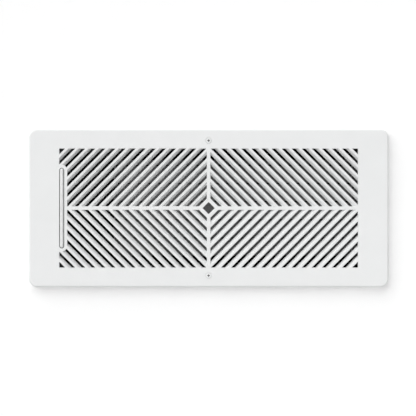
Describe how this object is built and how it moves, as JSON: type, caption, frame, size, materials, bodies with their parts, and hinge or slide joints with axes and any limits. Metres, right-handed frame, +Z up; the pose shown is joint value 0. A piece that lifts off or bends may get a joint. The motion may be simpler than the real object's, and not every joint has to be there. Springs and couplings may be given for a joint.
{
  "type": "smart vent",
  "caption": "Wall register with a white diamond-slat grille, lit push bar, and a motor-driven damper with battery bay behind it.",
  "frame": {"origin": "middle of the plane where the faceplate's rim meets the wall, on the axis of the duct", "axes": "+X right along the faceplate, +Y back into the duct, +Z up"},
  "size_m": [0.3048, 0.07, 0.1338],
  "materials": {
    "face_white": "satin white powder coat",
    "screw_white": "painted white",
    "light_white": "translucent white",
    "body_black": "moulded, fine grain",
    "blade_grey": "moulded, fine grain",
    "cover_black": "moulded, fine grain",
    "acetal_white": "moulded, smooth",
    "zinc_steel": "zinc plated",
    "gearbox_brass": "satin",
    "contact_nickel": "nickel plated",
    "board_green": "solder mask",
    "cell_wrap": "plain film wrap"
  },
  "bodies": {
    "housing": {"faceplate": "face_white", "mounting_screws": "screw_white", "light_board": "board_green", "vent_body": "body_black", "body_screws": "zinc_steel", "pivot_pins": "acetal_white", "gearbox": "gearbox_brass", "motor_can": "zinc_steel", "motor_clamp": "zinc_steel", "clamp_screws": "zinc_steel", "main_board": "board_green", "radio_module": "zinc_steel", "board_screws": "zinc_steel", "bay_cover": "cover_black", "cover_screws": "zinc_steel", "rear_cover": "cover_black", "rear_screws": "zinc_steel", "battery_cell_1": "cell_wrap", "battery_cell_2": "cell_wrap", "battery_contacts": "contact_nickel"},
    "blade_1": {"blade_1": "blade_grey", "crank_1": "acetal_white", "drive_gear": "acetal_white"},
    "blade_2": {"blade_2": "blade_grey", "crank_2": "acetal_white"},
    "blade_3": {"blade_3": "blade_grey", "crank_3": "acetal_white"},
    "blade_4": {"blade_4": "blade_grey", "crank_4": "acetal_white"},
    "blade_5": {"blade_5": "blade_grey", "crank_5": "acetal_white"},
    "link_bar": {"link_bar": "acetal_white"},
    "motor_pinion": {"motor_pinion": "acetal_white", "output_shaft": "zinc_steel"},
    "light_bar": {"light_bar": "light_white"},
    "battery_door": {"battery_door": "cover_black", "battery_bus": "contact_nickel"}
  },
  "joints": [
    {"name": "blade_1_turn", "type": "hinge", "parent": "housing", "child": "blade_1", "pos_m": [0.02, 0.015, 0.031], "axis": [-1, 0, 0], "range_deg": [0, 90]},
    {"name": "blade_2_turn", "type": "hinge", "parent": "housing", "child": "blade_2", "pos_m": [0.02, 0.015, 0.0155], "axis": [-1, 0, 0], "range_deg": [0, 90]},
    {"name": "blade_3_turn", "type": "hinge", "parent": "housing", "child": "blade_3", "pos_m": [0.02, 0.015, 0], "axis": [-1, 0, 0], "range_deg": [0, 90]},
    {"name": "blade_4_turn", "type": "hinge", "parent": "housing", "child": "blade_4", "pos_m": [0.02, 0.015, -0.0155], "axis": [-1, 0, 0], "range_deg": [0, 90]},
    {"name": "blade_5_turn", "type": "hinge", "parent": "housing", "child": "blade_5", "pos_m": [0.02, 0.015, -0.031], "axis": [-1, 0, 0], "range_deg": [0, 90]},
    {"name": "link_turn", "type": "hinge", "parent": "blade_1", "child": "link_bar", "pos_m": [-0.0877, 0.02066, 0.03666], "axis": [-1, 0, 0], "range_deg": [-90, 0]},
    {"name": "pinion_turn", "type": "hinge", "parent": "housing", "child": "motor_pinion", "pos_m": [-0.093, 0.0294, 0.031], "axis": [-1, 0, 0], "range_deg": [-180, 0]},
    {"name": "light_bar_press", "type": "slide", "parent": "housing", "child": "light_bar", "axis": [0, 1, 0], "range_m": [0, 0.0006], "stiffness_N_per_m": 1500, "springref_m": -0.0005},
    {"name": "battery_door_pull", "type": "slide", "parent": "housing", "child": "battery_door", "axis": [0, 1, 0], "range_m": [0, 0.03]}
  ],
  "couplings": [
    {"joint": "blade_2_turn", "follows": "blade_1_turn", "ratio": 1},
    {"joint": "blade_3_turn", "follows": "blade_1_turn", "ratio": 1},
    {"joint": "blade_4_turn", "follows": "blade_1_turn", "ratio": 1},
    {"joint": "blade_5_turn", "follows": "blade_1_turn", "ratio": 1},
    {"joint": "link_turn", "follows": "blade_1_turn", "ratio": -1},
    {"joint": "pinion_turn", "follows": "blade_1_turn", "ratio": -2}
  ]
}
